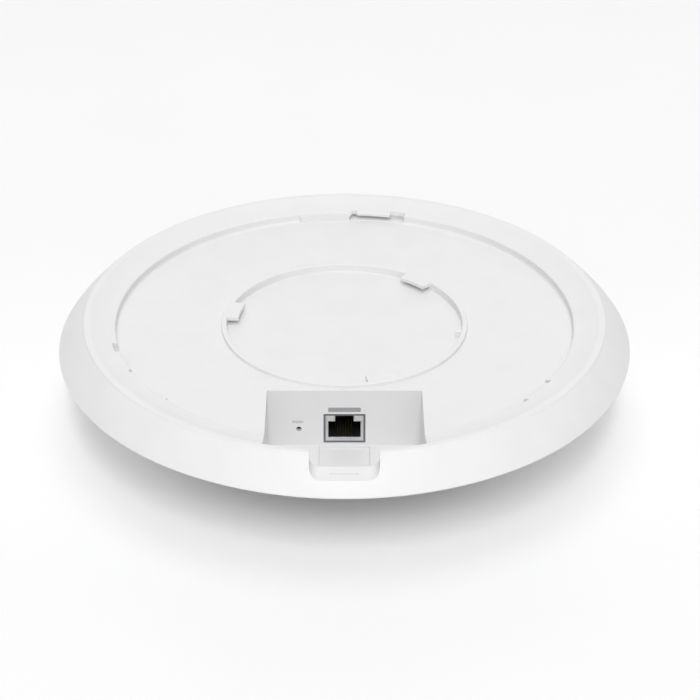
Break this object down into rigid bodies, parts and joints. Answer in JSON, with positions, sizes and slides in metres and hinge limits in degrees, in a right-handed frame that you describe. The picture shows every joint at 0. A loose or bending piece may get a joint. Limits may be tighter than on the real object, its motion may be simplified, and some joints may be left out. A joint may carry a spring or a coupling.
{
  "type": "ceiling access point",
  "caption": "Round white ceiling access point with a domed face, twist-lock back, and a cable pocket holding a network jack and a reset pinhole.",
  "frame": {"origin": "centre of the back plane, the flat ring that meets the ceiling, where the twist_lock mount sits", "axes": "+Z towards the ceiling, dome facing -Z, cable pocket on the -Y side"},
  "size_m": [0.22, 0.22, 0.048],
  "materials": {
    "casing_white": "satin moulded plastic",
    "dome_white": "satin moulded plastic",
    "seal": "matte",
    "light_guide": "frosted clear",
    "cast_aluminium": "as cast",
    "screw_steel": "zinc plated",
    "thermal_pad": "soft matte",
    "circuit_board": "solder mask",
    "light_board": "white solder mask",
    "chip_black": "moulded",
    "chip_lid": "moulded",
    "crystal_can": "satin",
    "ceramic": "fired",
    "ferrite": "matte",
    "capacitor_can": "satin",
    "tinned_steel": "tinned",
    "jack_plastic": "moulded",
    "gold_plate": "gold plated",
    "window": "clear",
    "switch_plastic": "moulded",
    "button_black": "moulded",
    "cable_jacket": "smooth",
    "brass_post": "turned",
    "led_resin": "clear resin",
    "connector_ivory": "moulded",
    "ribbon": "satin film"
  },
  "bodies": {
    "unit": {"rear_cover": "casing_white", "front_cover": "dome_white", "cover_gasket": "seal", "light_ring": "light_guide", "heat_sink": "cast_aluminium", "heat_sink_screws": "screw_steel", "thermal_pads": "thermal_pad", "main_board": "circuit_board", "board_screws": "screw_steel", "processor_chip": "chip_lid", "memory_chips": "chip_black", "flash_chip": "chip_black", "radio_chips": "chip_lid", "amplifier_chips": "chip_black", "ethernet_chip": "chip_black", "power_controller_chips": "chip_black", "clock_crystals": "crystal_can", "ceramic_capacitors": "ceramic", "power_inductors": "ferrite", "power_capacitors": "capacitor_can", "poe_transformer": "ferrite", "ethernet_transformer": "chip_black", "radio_shield_cans": "tinned_steel", "ethernet_jack_housing": "jack_plastic", "ethernet_jack_shield": "tinned_steel", "ethernet_contacts": "gold_plate", "jack_light_pipes": "window", "reset_switch": "switch_plastic", "reset_switch_dome": "tinned_steel", "coax_sockets": "gold_plate", "antenna_cables": "cable_jacket", "antenna_tray": "tinned_steel", "tray_standoffs": "brass_post", "tray_screws": "screw_steel", "high_band_antennas": "tinned_steel", "low_band_antennas": "tinned_steel", "bluetooth_antenna": "circuit_board", "status_light_board": "light_board", "status_leds": "led_resin", "ribbon_connectors": "connector_ivory", "ribbon_cable": "ribbon"},
    "button": {"reset_button": "button_black"}
  },
  "joints": [
    {"name": "reset_press", "type": "slide", "parent": "unit", "child": "button", "axis": [0, 1, 0], "range_m": [0, 0.00025], "stiffness_N_per_m": 400}
  ]
}
